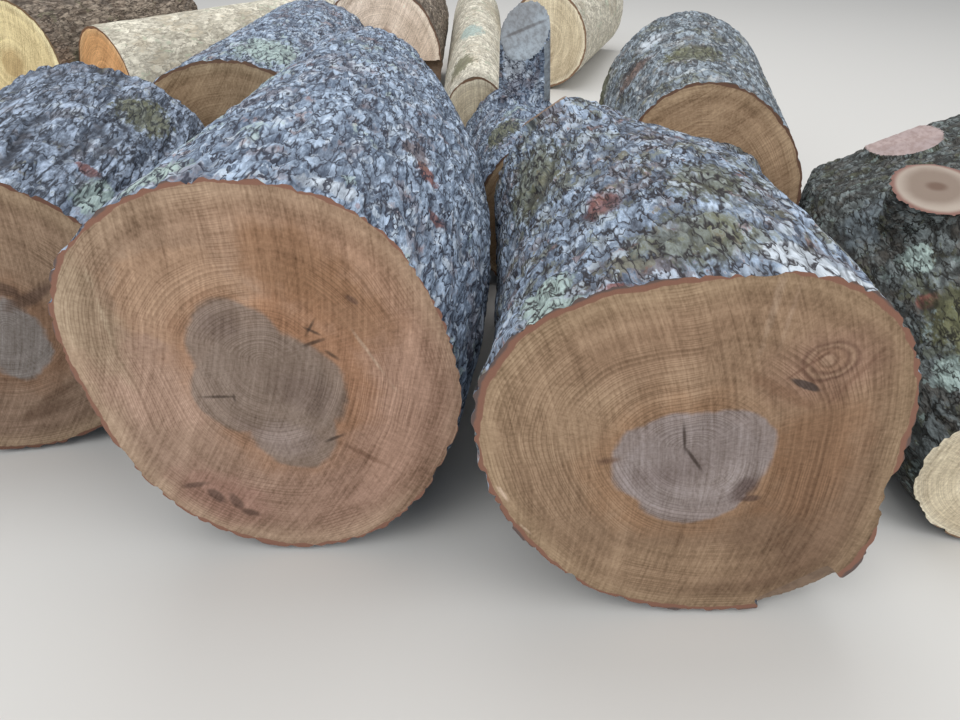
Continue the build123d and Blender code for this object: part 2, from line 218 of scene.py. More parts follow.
# Bark: low and high colour of the flakes, and colour of the furrows and cracks and of the painted
# shade in them
# width: of the flakes, as a share of the setting. cracks: share of the flakes with a crack
# depth: darkness of the cracks and of the painted shadow along each flake's lifted end
# deep: darkness of the furrows, painted shade that grows with their depth over their own darker
# colour
# fibre: contrast of the fine grit. bump: strength
# patches: share of the surface, size in metres, how crumbled, and colour
# The blue cast in the colours of the scaly, mossy, furrowed and plated barks, their furrows and
# their pale patches is painted shade light from an open sky over the bark's own grey
BARKS = {
    "scaly": {
        "low": (88, 101, 120), "high": (174, 191, 212), "furrow": (48, 50, 62), "width": 1.15,
        "cracks": 0.7, "depth": 0.95, "deep": 0.5, "fibre": 0.6, "bump": 1.0,
        "patches": [
            (0.3, 0.1, 1.0, (128, 122, 128)), (0.25, 0.04, 1.2, (200, 212, 224)),
            (0.08, 0.09, 0.8, (164, 182, 176)), (0.04, 0.05, 0.9, (130, 100, 96)),
        ],
    },
    "mossy": {
        "low": (80, 90, 106), "high": (172, 189, 210), "furrow": (42, 37, 40), "width": 1.3,
        "cracks": 0.8, "depth": 0.95, "deep": 0.6, "fibre": 0.6, "bump": 1.1,
        "patches": [
            (0.35, 0.09, 1.0, (120, 106, 102)), (0.36, 0.07, 1.3, (116, 116, 90)),
            (0.3, 0.045, 1.1, (192, 206, 222)), (0.05, 0.05, 0.9, (128, 90, 82)),
        ],
    },
    "dark": {
        "low": (64, 66, 64), "high": (134, 142, 142), "furrow": (28, 25, 22), "width": 1.2,
        "cracks": 0.85, "depth": 0.9, "deep": 0.8, "fibre": 0.5, "bump": 0.9,
        "patches": [
            (0.4, 0.09, 1.0, (80, 72, 64)), (0.3, 0.07, 1.2, (80, 82, 58)),
            (0.12, 0.04, 1.2, (140, 156, 154)),
        ],
    },
    "furrowed": {
        "low": (80, 89, 104), "high": (170, 185, 206), "furrow": (36, 37, 44), "width": 1.3,
        "cracks": 0.95, "depth": 0.9, "deep": 0.85, "fibre": 0.5, "bump": 0.9,
        "patches": [
            (0.25, 0.12, 1.0, (114, 110, 114)), (0.2, 0.04, 1.2, (188, 200, 214)),
            (0.06, 0.08, 1.0, (108, 108, 84)),
        ],
    },
    "plated": {
        "low": (82, 91, 98), "high": (166, 178, 188), "furrow": (46, 43, 44), "width": 1.5,
        "cracks": 0.8, "depth": 0.85, "deep": 0.6, "fibre": 0.5, "bump": 0.8,
        "patches": [
            (0.3, 0.1, 1.0, (128, 120, 114)), (0.24, 0.09, 1.2, (114, 114, 90)),
            (0.2, 0.05, 1.2, (200, 208, 212)),
        ],
    },
    "smooth": {
        "low": (172, 166, 150), "high": (236, 230, 212), "furrow": (116, 108, 98), "width": 1.8,
        "cracks": 0.5, "depth": 0.5, "deep": 0.3, "fibre": 0.35, "bump": 0.4,
        "patches": [(0.3, 0.2, 1.0, (186, 174, 152)), (0.1, 0.08, 1.2, (178, 190, 168))],
    },
    "brown": {
        "low": (104, 90, 78), "high": (172, 158, 142), "furrow": (50, 42, 36), "width": 1.4,
        "cracks": 0.85, "depth": 0.85, "deep": 0.7, "fibre": 0.5, "bump": 0.8,
        "patches": [(0.3, 0.12, 1.0, (136, 126, 116)), (0.12, 0.08, 1.2, (108, 106, 80))],
    },
}

# Tones of several marks
LEFT_HEART = (134, 117, 105)
RIGHT_HEART = (140, 128, 124)
HEART_SHADE = (116, 99, 90)
STAIN = (100, 78, 68)

# Sawn faces: ground colours towards four corners, sapwood, ring of bark and its outer edge
# radius: mean, in metres. saw: slant of the saw strokes. rings: contrast of the growth rings
# marks: colour, strength, centre and size (right, up), turn, softness and raggedness
FACES = {
    "front left": {
        "low left": (152, 126, 108), "low right": (160, 128, 110), "high left": (160, 134, 112),
        "high right": (164, 130, 106), "sap": (168, 144, 120), "bark": (140, 102, 86),
        "outer bark": (104, 90, 86), "radius": 0.33, "saw": 0.25, "rings": 0.28,
        "marks": [
            ((168, 138, 120), 0.7, (-0.15, 0.38), (0.1, 0.1), 0, 0.3, 0.8),
            ((172, 140, 114), 0.7, (-0.1, 0.5), (0.1, 0.08), -10, 0.12, 0.6),
            ((164, 144, 120), 0.6, (-0.25, 0.49), (0.045, 0.12), 18, 0.3, 0.8),
            ((174, 140, 120), 0.7, (0.2, 0.3), (0.1, 0.16), 0, 0.5, 0.8),
            ((146, 110, 82), 0.75, (0.06, 0.56), (0.08, 0.05), -25, 0.4, 1.0),
            ((146, 110, 82), 0.7, (0.12, 0.49), (0.09, 0.045), -35, 0.4, 1.0),
            ((158, 122, 96), 0.7, (-0.03, 0.4), (0.1, 0.115), 25, 0.25, 0.5),
            ((158, 117, 88), 0.75, (0.05, 0.38), (0.1, 0.13), 30, 0.25, 0.5),
            ((156, 120, 94), 0.6, (0.02, 0.28), (0.1, 0.1), 0, 0.3, 0.6),
            (LEFT_HEART, 0.95, (0.0, 0.36), (0.088, 0.098), 30, 0.07, 0.15),
            (LEFT_HEART, 0.95, (-0.037, 0.415), (0.07, 0.088), 10, 0.07, 0.2),
            (LEFT_HEART, 0.95, (0.025, 0.352), (0.094, 0.085), -35, 0.07, 0.2),
            (LEFT_HEART, 0.95, (0.025, 0.27), (0.066, 0.078), 15, 0.07, 0.2),
            (LEFT_HEART, 0.95, (-0.06, 0.335), (0.055, 0.07), 30, 0.07, 0.2),
            (HEART_SHADE, 0.6, (-0.06, 0.46), (0.03, 0.025), 0, 0.6, 0.8),
            (HEART_SHADE, 0.6, (0.055, 0.34), (0.05, 0.035), -35, 0.6, 0.9),
            (HEART_SHADE, 0.6, (-0.02, 0.26), (0.05, 0.012), -35, 0.6, 0.9),
            ((146, 130, 122), 0.7, (0.012, 0.25), (0.045, 0.035), -10, 0.4, 0.6),
            ("crack", 0.75, (0.074, 0.456), (0.013, 0.0024), 60, 0.6, 0.8),
            ("crack", 0.75, (0.076, 0.449), (0.013, 0.0024), -30, 0.6, 0.8),
            ("crack", 0.75, (0.076, 0.43), (0.017, 0.003), 20, 0.6, 0.8),
            ("crack", 0.7, (0.1, 0.408), (0.012, 0.003), -40, 0.6, 0.8),
            ("crack", 0.7, (-0.08, 0.335), (0.024, 0.0025), 0, 0.6, 0.6),
            ("crack", 0.6, (-0.056, 0.332), (0.002, 0.008), 0, 0.6, 0.6),
            ("crack", 0.8, (0.088, 0.253), (0.016, 0.003), 25, 0.6, 0.6),
            ((120, 88, 70), 0.6, (0.13, 0.22), (0.045, 0.004), -35, 0.6, 1.0),
            ((150, 110, 98), 0.5, (-0.11, 0.13), (0.08, 0.05), -30, 0.5, 0.9),
            (STAIN, 0.8, (-0.15, 0.158), (0.024, 0.005), 10, 0.5, 1.2),
            (STAIN, 0.85, (-0.122, 0.135), (0.016, 0.009), -50, 0.4, 1.2),
            (STAIN, 0.8, (-0.09, 0.12), (0.008, 0.018), 20, 0.4, 1.2),
            ((96, 74, 64), 0.85, (-0.072, 0.095), (0.016, 0.008), -20, 0.4, 1.0),
            ((100, 76, 64), 0.7, (0.138, 0.499), (0.01, 0.004), -40, 0.4, 0.8),
            ((190, 170, 146), 0.5, (-0.214, 0.47), (0.003, 0.06), 4, 0.8, 3.0),
            ((190, 168, 146), 0.5, (0.16, 0.4), (0.002, 0.045), 28, 0.8, 3.0),
        ],
    },
    "front right": {
        "low left": (138, 113, 90), "low right": (122, 97, 77), "high left": (160, 133, 108),
        "high right": (148, 121, 97), "sap": (156, 133, 106), "bark": (136, 98, 82),
        "outer bark": (98, 84, 80), "radius": 0.3, "saw": -0.12, "rings": 0.3,
        "marks": [
            ((146, 112, 84), 0.65, (-0.01, 0.31), (0.135, 0.12), 0, 0.35, 0.6),
            ((132, 98, 72), 0.6, (0.17, 0.33), (0.06, 0.12), 0, 0.5, 0.8),
            ((164, 138, 112), 0.5, (-0.2, 0.4), (0.09, 0.08), 20, 0.15, 0.8),
            ((132, 104, 82), 0.5, (-0.08, 0.5), (0.1, 0.04), 20, 0.4, 1.0),
            (RIGHT_HEART, 0.95, (0.01, 0.31), (0.102, 0.078), 8, 0.06, 0.12),
            ((158, 132, 106), 0.6, (0.0, 0.11), (0.14, 0.05), 0, 0.5, 0.8),
            (RIGHT_HEART, 0.95, (-0.018, 0.325), (0.092, 0.078), 15, 0.06, 0.2),
            (RIGHT_HEART, 0.95, (0.052, 0.345), (0.062, 0.066), 0, 0.06, 0.2),
            (RIGHT_HEART, 0.95, (0.015, 0.265), (0.078, 0.06), 10, 0.06, 0.2),
            ((120, 106, 102), 0.6, (-0.02, 0.3), (0.06, 0.02), 10, 0.7, 0.9),
            ((156, 144, 140), 0.6, (0.04, 0.28), (0.05, 0.03), 40, 0.6, 0.8),
            ((92, 76, 72), 0.8, (0.088, 0.272), (0.024, 0.014), 60, 0.5, 1.2),
            ((84, 64, 56), 0.8, (0.098, 0.252), (0.014, 0.006), 10, 0.4, 1.0),
            ((104, 78, 62), 0.8, (-0.112, 0.322), (0.016, 0.006), 10, 0.5, 0.8),
            ("crack", 0.85, (-0.012, 0.362), (0.024, 0.0025), -80, 0.6, 0.6),
            ("crack", 0.85, (0.006, 0.325), (0.024, 0.0025), -55, 0.6, 0.6),
            ((140, 110, 92), 0.7, (0.153, 0.478), (0.075, 0.055), 15, 0.5, 0.6),
            ((104, 76, 62), 0.9, (0.153, 0.485), (0.036, 0.03), 15, 0.12, 0.4),
            ((152, 124, 102), 0.9, (0.153, 0.486), (0.031, 0.026), 15, 0.12, 0.4),
            ((112, 84, 68), 0.9, (0.153, 0.486), (0.025, 0.021), 15, 0.14, 0.4),
            ((150, 120, 98), 0.9, (0.152, 0.487), (0.02, 0.017), 15, 0.14, 0.4),
            ((118, 90, 72), 0.9, (0.151, 0.487), (0.013, 0.012), 15, 0.2, 0.4),
            ((158, 130, 108), 0.9, (0.15, 0.487), (0.009, 0.009), 15, 0.3, 0.4),
            ((66, 56, 52), 0.9, (0.131, 0.449), (0.022, 0.005), -24, 0.3, 1.0),
            ((112, 82, 66), 0.7, (0.125, 0.478), (0.034, 0.0025), 43, 0.5, 0.8),
            ((120, 90, 72), 0.6, (0.19, 0.46), (0.05, 0.003), 60, 0.6, 0.8),
            ((176, 152, 130), 0.6, (0.066, 0.565), (0.004, 0.045), -3, 0.8, 2.0),
            ((174, 148, 126), 0.5, (0.088, 0.55), (0.003, 0.04), -4, 0.8, 2.0),
            ((118, 88, 66), 0.5, (0.1, 0.44), (0.06, 0.008), -30, 0.6, 1.4),
            ((196, 172, 150), 0.8, (-0.255, 0.26), (0.014, 0.003), -60, 0.5, 1.6),
            ((196, 172, 150), 0.7, (-0.22, 0.19), (0.012, 0.002), -50, 0.5, 1.6),
        ],
    },
    "far left": {
        "low left": (134, 111, 94), "low right": (138, 115, 97), "high left": (151, 126, 104),
        "high right": (149, 124, 102), "sap": (158, 136, 110), "bark": (112, 80, 66),
        "outer bark": (86, 76, 74), "radius": 0.3, "saw": 0.3, "rings": 0.3,
        "marks": [
            ((122, 88, 64), 0.6, (0.02, 0.27), (0.1, 0.12), 0, 0.3, 0.5),
            ((130, 124, 120), 0.9, (0.012, 0.262), (0.06, 0.085), 0, 0.1, 0.4),
            ((92, 72, 60), 0.85, (0.075, 0.352), (0.05, 0.014), 25, 0.5, 1.2),
            ((92, 72, 60), 0.8, (0.03, 0.37), (0.03, 0.01), -30, 0.5, 1.2),
            ((100, 78, 62), 0.7, (0.025, 0.099), (0.06, 0.012), 20, 0.6, 1.2),
            ((100, 78, 62), 0.6, (0.06, 0.14), (0.07, 0.008), 30, 0.6, 1.2),
        ],
    },
    "tan": {
        "low left": (148, 126, 100), "low right": (146, 124, 98), "high left": (164, 140, 112),
        "high right": (160, 136, 108), "sap": (168, 148, 120), "bark": (116, 90, 74),
        "outer bark": (92, 82, 76), "radius": 0.28, "saw": 0.8, "rings": 0.3,
        "marks": [((132, 112, 98), 0.8, (0.01, 0.28), (0.08, 0.08), 0, 0.15, 0.5)],
    },
    "pale tan": {
        "low left": (158, 130, 102), "low right": (156, 127, 100), "high left": (175, 147, 117),
        "high right": (170, 141, 112), "sap": (176, 150, 120), "bark": (112, 84, 68),
        "outer bark": (94, 84, 78), "radius": 0.28, "saw": 1.1, "rings": 0.3,
        "marks": [((128, 108, 96), 0.8, (0.0, 0.31), (0.08, 0.09), 0, 0.15, 0.5)],
    },
    "cream": {
        "low left": (202, 186, 158), "low right": (198, 182, 154), "high left": (222, 208, 180),
        "high right": (218, 204, 174), "sap": (228, 218, 194), "bark": (134, 106, 84),
        "outer bark": (122, 112, 98), "radius": 0.2, "saw": 0.2, "rings": 0.2,
        "marks": [((162, 138, 114), 0.7, (0.0, 0.16), (0.045, 0.045), 0, 0.3, 0.6)],
    },
    "pink tan": {
        "low left": (222, 198, 176), "low right": (218, 194, 172), "high left": (238, 218, 198),
        "high right": (234, 214, 194), "sap": (242, 226, 206), "bark": (122, 94, 78),
        "outer bark": (104, 94, 86), "radius": 0.28, "saw": 0.7, "rings": 0.28,
        "marks": [((168, 138, 118), 0.7, (0.03, 0.36), (0.08, 0.08), 0, 0.2, 0.5)],
    },
    "orange": {
        "low left": (204, 152, 104), "low right": (200, 146, 100), "high left": (220, 170, 118),
        "high right": (216, 164, 112), "sap": (224, 186, 140), "bark": (128, 94, 70),
        "outer bark": (156, 148, 136), "radius": 0.2, "saw": 0.9, "rings": 0.28,
        "marks": [((172, 120, 80), 0.7, (0.0, 0.22), (0.05, 0.05), 0, 0.3, 0.6)],
    },
    "yellow": {
        "low left": (214, 192, 144), "low right": (210, 188, 140), "high left": (230, 212, 164),
        "high right": (226, 208, 160), "sap": (232, 220, 178), "bark": (124, 98, 72),
        "outer bark": (106, 96, 82), "radius": 0.27, "saw": 0.4, "rings": 0.2,
        "marks": [((184, 156, 110), 0.7, (0.0, 0.28), (0.06, 0.06), 0, 0.3, 0.6)],
    },
}

# Cut wood that isn't an end: two ground colours and that of the fibre
CUTS = {
    "plain": ((150, 128, 108), (136, 114, 96), (104, 84, 70)),
    "grey": ((152, 162, 170), (130, 134, 138), (88, 86, 86)),
    "pink": ((188, 168, 164), (176, 158, 156), (140, 116, 108)),
}

# Turn in degrees, softness and raggedness of a spot that gives none
SPOT_EDGE = (0, 0.22, 2.0)
# Metres that a mark on a face goes into the log, and half height past which the far face has it
MARK_DEPTH = 9.0
FAR_MARK = 0.05

# Metres that the sawn faces lie inside the ends of the solid
SHAVE = 0.0001
# Metres within which two places count as one, and within which vertices are merged
SAME_PLACE = 0.0005
MERGE = 0.00001

# Least area in square metres and least number of triangles of a flat cut on a solid
CUT_AREA = 0.0015
CUT_TRIANGLES = 10
# Number of triangles under which a flat patch that faces sideways is a strip of bark
STRIP_TRIANGLES = 20
# Mesh steps that a remade face may lie from its flat cut, and metres at the ends without a cut
CUT_REACH = 1.3
END_EDGE = 0.001

# Outline that the growth rings follow: metres from the end, slices round the log, and waves
OUTLINE = (0.02, 0.04)
SLICES = 64
WAVES = 6

# Material slots of a log: the bark is the first
NEAR_FACE = 1
CUT_WOOD = 2
FAR_FACE = 3

BARK_ROUGHNESS = 0.85
WOOD_ROUGHNESS = 0.75
FLOOR_ROUGHNESS = 0.9
SPECULAR = 0.25

# Camera: metres inside the right edge of the front left log, and in front of the front right log
CAMERA_INSET = 0.029
CAMERA_REACH = 0.789
SENSOR_WIDTH = 36

# Area lights: name, place, size in metres and power in watts
LIGHTS = [
    ("key light", (-3.0, -6.0, 5.5), 5.0, 230.0),
    ("fill light", (4.5, -4.5, 4.5), 5.0, 170.0),
    ("top light", (0.0, 1.5, 6.0), 6.0, 240.0),
]
# Floor in metres and 8-bit colour, and the light of the world
FLOOR_SIZE = 60
FLOOR_COLOR = (206, 204, 200)
WORLD_COLOR = (0.93, 0.96, 1.0, 1.0)
WORLD_STRENGTH = 0.5


def tone(red, green, blue):
    """Linear colour of an 8-bit one."""
    parts = [part / 255 for part in (red, green, blue)]
    parts = [((p + 0.055) / 1.055) ** 2.4 if p > 0.04045 else p / 12.92 for p in parts]
    return (*parts, 1.0)


class LogHeapSettings(bpy.types.PropertyGroup):
    mesh_step: bpy.props.FloatProperty(
        name="Mesh step", description="Spacing of the bark mesh on the nearest logs",
        default=0.0062, min=0.003, max=0.05, subtype="DISTANCE", unit="LENGTH")
    bark_relief: bpy.props.FloatProperty(
        name="Bark relief", description="Depth of the deepest bark furrows",
        default=0.013, min=0.0, max=0.04, subtype="DISTANCE", unit="LENGTH")
    ridge_width: bpy.props.FloatProperty(
        name="Ridge width", description="Width of one ridge of bark",
        default=0.036, min=0.005, max=0.2, subtype="DISTANCE", unit="LENGTH")
    flake_width: bpy.props.FloatProperty(
        name="Flake width", description="Width of one thin flake on the ridges",
        default=0.015, min=0.003, max=0.1, subtype="DISTANCE", unit="LENGTH")
    overhang: bpy.props.FloatProperty(
        name="Overhang", description="Length added to each end before it is cut off clean",
        default=0.03, min=0.01, max=0.1, subtype="DISTANCE", unit="LENGTH")
    bark_thickness: bpy.props.FloatProperty(
        name="Bark thickness", description="Width of the bark ring on a sawn face",
        default=0.008, min=0.002, max=0.04, subtype="DISTANCE", unit="LENGTH")
    ring_width: bpy.props.FloatProperty(
        name="Ring width", description="Spacing of the growth rings",
        default=0.0052, min=0.001, max=0.02, subtype="DISTANCE", unit="LENGTH")
    bare: bpy.props.FloatVectorProperty(
        name="Bare bark", description="Colour of the red bark where flakes have come off",
        default=tone(132, 84, 74)[:3], min=0.0, max=1.0, subtype="COLOR")
    rust: bpy.props.FloatVectorProperty(
        name="Rust", description="Colour of the weathered brown spots on the bark",
        default=tone(122, 98, 86)[:3], min=0.0, max=1.0, subtype="COLOR")
    moss: bpy.props.FloatVectorProperty(
        name="Moss", description="Colour of the moss spots on the bark",
        default=tone(106, 106, 76)[:3], min=0.0, max=1.0, subtype="COLOR")
    lichen: bpy.props.FloatVectorProperty(
        name="Lichen", description="Colour of the green lichen spots on the bark",
        default=tone(170, 188, 182)[:3], min=0.0, max=1.0, subtype="COLOR")
    white: bpy.props.FloatVectorProperty(
        name="White lichen", description="Colour of the white lichen spots on the bark",
        default=tone(206, 214, 222)[:3], min=0.0, max=1.0, subtype="COLOR")
    crack: bpy.props.FloatVectorProperty(
        name="Cracks", description="Colour of the cracks and holes in wood and bark",
        default=tone(60, 48, 42)[:3], min=0.0, max=1.0, subtype="COLOR")
    eye_height: bpy.props.FloatProperty(
        name="Eye height", description="Height of the camera over the ground",
        default=1.0, min=0.3, max=2.0, subtype="DISTANCE", unit="LENGTH")
    pitch: bpy.props.FloatProperty(
        name="Pitch", description="Angle that the camera looks down",
        default=math.radians(33), min=0.0, max=1.5, subtype="ANGLE", unit="ROTATION")
    lens: bpy.props.FloatProperty(
        name="Lens", description="Focal length of the camera in millimetres",
        default=28.09, min=10.0, max=100.0)


def settings():
    return bpy.context.scene.log_heap


def paint(color):
    """Linear colour of an 8-bit one, or of one that the settings name."""
    if isinstance(color, str):
        return (*getattr(settings(), color), 1.0)
    return tone(*color)


# Node helpers

NUMBER = "NodeSocketFloat"
VECTOR = "NodeSocketVector"
GEOMETRY = "NodeSocketGeometry"
# Sockets of a Mix node for colours
MIX_SHARE, MIX_FIRST, MIX_SECOND, MIX_RESULT = 0, 6, 7, 2


def add(tree, kind, values=None, **props):
    """Adds a node: props are set on it, and values link or set its inputs."""
    node = tree.nodes.new(kind)
    for name, value in props.items():
        setattr(node, name, value)
    for key, value in (values or {}).items():
        if isinstance(value, bpy.types.NodeSocket):
            tree.links.new(value, node.inputs[key])
        else:
            node.inputs[key].default_value = value
    return node


def calc(tree, operation, *values):
    """Output of a Math node."""
    return add(tree, "ShaderNodeMath", dict(enumerate(values)), operation=operation).outputs[0]


def times(tree, first, second):
    return calc(tree, "MULTIPLY", first, second)


def total(tree, start, *parts):
    """Start plus each value times its weight."""
    for value, weight in parts:
        start = calc(tree, "MULTIPLY_ADD", value, weight, start)
    return start


def vector(tree, operation, *values, scale=None):
    """Output of a Vector Math node: a number for a length or dot product, else a vector."""
    inputs = dict(enumerate(values))
    if scale is not None:
        inputs["Scale"] = scale
    node = add(tree, "ShaderNodeVectorMath", inputs, operation=operation)
    return node.outputs["Value" if operation in ("LENGTH", "DOT_PRODUCT") else "Vector"]


def join(tree, x=0.0, y=0.0, z=0.0):
    """Vector of three numbers."""
    return add(tree, "ShaderNodeCombineXYZ", {0: x, 1: y, 2: z}).outputs[0]


def split(tree, value):
    """The three numbers of a vector or colour."""
    return add(tree, "ShaderNodeSeparateXYZ", {0: value}).outputs


def noise(tree, place, scale, detail=3.0, roughness=0.55, output="Fac", flat=False):
    """Output of a Noise Texture node, in two dimensions where flat."""
    values = {"Vector": place, "Scale": scale, "Detail": detail, "Roughness": roughness}
    return add(tree, "ShaderNodeTexNoise", values,
               noise_dimensions="2D" if flat else "3D").outputs[output]


def smooth(tree, value, low, high, top=1.0):
    """0 below low, the top above high, and a smooth step between. low may be above high."""
    values = {"Value": value, "From Min": low, "From Max": high, "To Max": top}
    return add(tree, "ShaderNodeMapRange", values, interpolation_type="SMOOTHSTEP").outputs[0]


def mix(tree, share, first, second, blend="MIX"):
    """The second colour over the first, by a share."""
    node = add(tree, "ShaderNodeMix", {MIX_SHARE: share, MIX_FIRST: first, MIX_SECOND: second},
               data_type="RGBA", blend_type=blend)
    return node.outputs[MIX_RESULT]


def shaded(tree, color, red, green, blue):
    """A colour times a number for its red, its green and its blue."""
    shares = add(tree, "ShaderNodeCombineColor", {0: red, 1: green, 2: blue}).outputs[0]
    return mix(tree, 1.0, color, shares, "MULTIPLY")


def new_group(kind, name, inputs, outputs):
    """A node group with its sockets. Returns the tree, its input sockets and its output node."""
    tree = bpy.data.node_groups.new(name, kind)
    for direction, sockets in (("INPUT", inputs), ("OUTPUT", outputs)):
        for label, (socket, default) in sockets.items():
            made = tree.interface.new_socket(label, in_out=direction, socket_type=socket)
            if default is not None:
                made.default_value = default
    return tree, tree.nodes.new("NodeGroupInput").outputs, tree.nodes.new("NodeGroupOutput")


def put_out(tree, output, values):
    """Links the results of a node group to its outputs."""
    for name, value in values.items():
        tree.links.new(value, output.inputs[name])


def use_group(tree, name, values):
    """Outputs of a shader node group, placed with its own values."""
    return add(tree, "ShaderNodeGroup", values, node_tree=bpy.data.node_groups[name]).outputs


def squeezed_place(tree, place, stretch, seed):
    """Positions on a log shortened along it, so that patterns come out drawn out along it."""
    shifted = vector(tree, "ADD", place, join(tree, seed, seed))
    return vector(tree, "MULTIPLY", shifted, join(tree, 1.0, 1.0, calc(
        tree, "DIVIDE", 1.0, stretch)))


# Node groups


def flakes_group():
    """Thin flakes of bark, each lifted at its near end: height, a value a flake, and the gaps with
    a painted shadow along each lifted end.
    """
    tree, inputs, output = new_group(
        "ShaderNodeTree", "Flakes",
        {"Place": (VECTOR, None), "Width": (NUMBER, 0.016), "Stretch": (NUMBER, 3.0),
         "Seed": (NUMBER, 0.0), "Cracks": (NUMBER, 0.5)},
        {"Height": (NUMBER, None), "Flake": (NUMBER, None), "Crack": (NUMBER, None)})
    width = inputs["Width"]
    place = squeezed_place(tree, inputs["Place"], inputs["Stretch"], inputs["Seed"])
    per_metre = calc(tree, "DIVIDE", 1.0, width)
    # Broad and fine bends of the flakes: noise scale per flake, and reach in flake widths
    wavy = place
    for scale, reach in ((0.35, 3.0), (2.2, 1.1)):
        drift = noise(tree, place, times(tree, per_metre, scale), detail=1.0, output="Color")
        size = times(tree, width, reach)
        wavy = vector(tree, "MULTIPLY_ADD", drift, join(tree, size, size, size), wavy)
    cells = {"Vector": wavy, "Scale": per_metre}
    cell = add(tree, "ShaderNodeTexVoronoi", cells, feature="F1")
    edge = add(tree, "ShaderNodeTexVoronoi", cells, feature="DISTANCE_TO_EDGE")
    levels = split(tree, cell.outputs["Color"])
    lean = vector(tree, "MULTIPLY_ADD", cell.outputs["Color"], (1.0, 1.0, 0.6), (-1.0, -0.6, -1.2))
    tilt = calc(tree, "DIVIDE", vector(tree, "DOT_PRODUCT", lean, vector(
        tree, "SUBTRACT", wavy, cell.outputs["Position"])), width)
    rough = noise(tree, place, times(tree, per_metre, 3.0), detail=2.0, roughness=0.65)
    height = total(tree, 0.0, (levels[1], 0.4), (tilt, 0.5), (rough, 0.5))
    whole = calc(tree, "MULTIPLY_ADD", inputs["Cracks"], -0.5, 0.8)
    torn = smooth(tree, noise(tree, place, times(tree, per_metre, 0.5), detail=2.0),
                  low=whole, high=calc(tree, "ADD", whole, 0.15))
    # Painted shadow: a dark band along the lifted near end of each flake
    lip_shadow = smooth(tree, tilt, low=-0.2, high=0.2)
    gap = smooth(tree, edge.outputs["Distance"], low=0.24, high=0.04)
    # Cracks where the bark is torn, together with the painted shadow along the lifted ends
    crack = times(tree, gap, calc(tree, "MAXIMUM", times(tree, torn, 0.55), lip_shadow))
    put_out(tree, output, {"Height": height, "Flake": levels[0], "Crack": crack})


def patches_group():
    """Patches of a size over a share of the surface, crumbled by a finer noise."""
    tree, inputs, output = new_group(
        "ShaderNodeTree", "Patches",
        {"Place": (VECTOR, None), "Size": (NUMBER, 0.1), "Share": (NUMBER, 0.3),
         "Crumble": (NUMBER, 0.5), "Ripple": (NUMBER, 0.0)},
        {"Mask": (NUMBER, None)})
    broad = noise(tree, inputs["Place"], calc(tree, "DIVIDE", 1.0, inputs["Size"]), detail=1.0)
    both = calc(tree, "MULTIPLY_ADD", inputs["Ripple"], inputs["Crumble"], broad)
    edge = calc(tree, "MULTIPLY_ADD", inputs["Share"], -0.5, 0.73)
    mask = smooth(tree, both, low=edge, high=calc(tree, "ADD", edge, 0.07), top=0.6)
    put_out(tree, output, {"Mask": mask})


def blot_group():
    """One oval spot or thin crack where place x scale + shift is short, frayed by a ripple."""
    tree, inputs, output = new_group(
        "ShaderNodeTree", "Blot",
        {"Place": (VECTOR, None), "Scale": (VECTOR, (20.0, 20.0, 20.0)), "Shift": (VECTOR, None),
         "Strength": (NUMBER, 1.0), "Edge": (NUMBER, 0.2), "Ragged": (NUMBER, 0.2),
         "Ripple": (NUMBER, 0.0)},
        {"Mask": (NUMBER, None)})
    length = vector(tree, "LENGTH", vector(
        tree, "MULTIPLY_ADD", inputs["Place"], inputs["Scale"], inputs["Shift"]))
    length = calc(tree, "MULTIPLY_ADD", inputs["Ripple"], inputs["Ragged"], length)
    mask = smooth(tree, length, low=calc(tree, "ADD", 1.0, inputs["Edge"]),
                  high=calc(tree, "SUBTRACT", 1.0, inputs["Edge"]), top=inputs["Strength"])
    put_out(tree, output, {"Mask": mask})


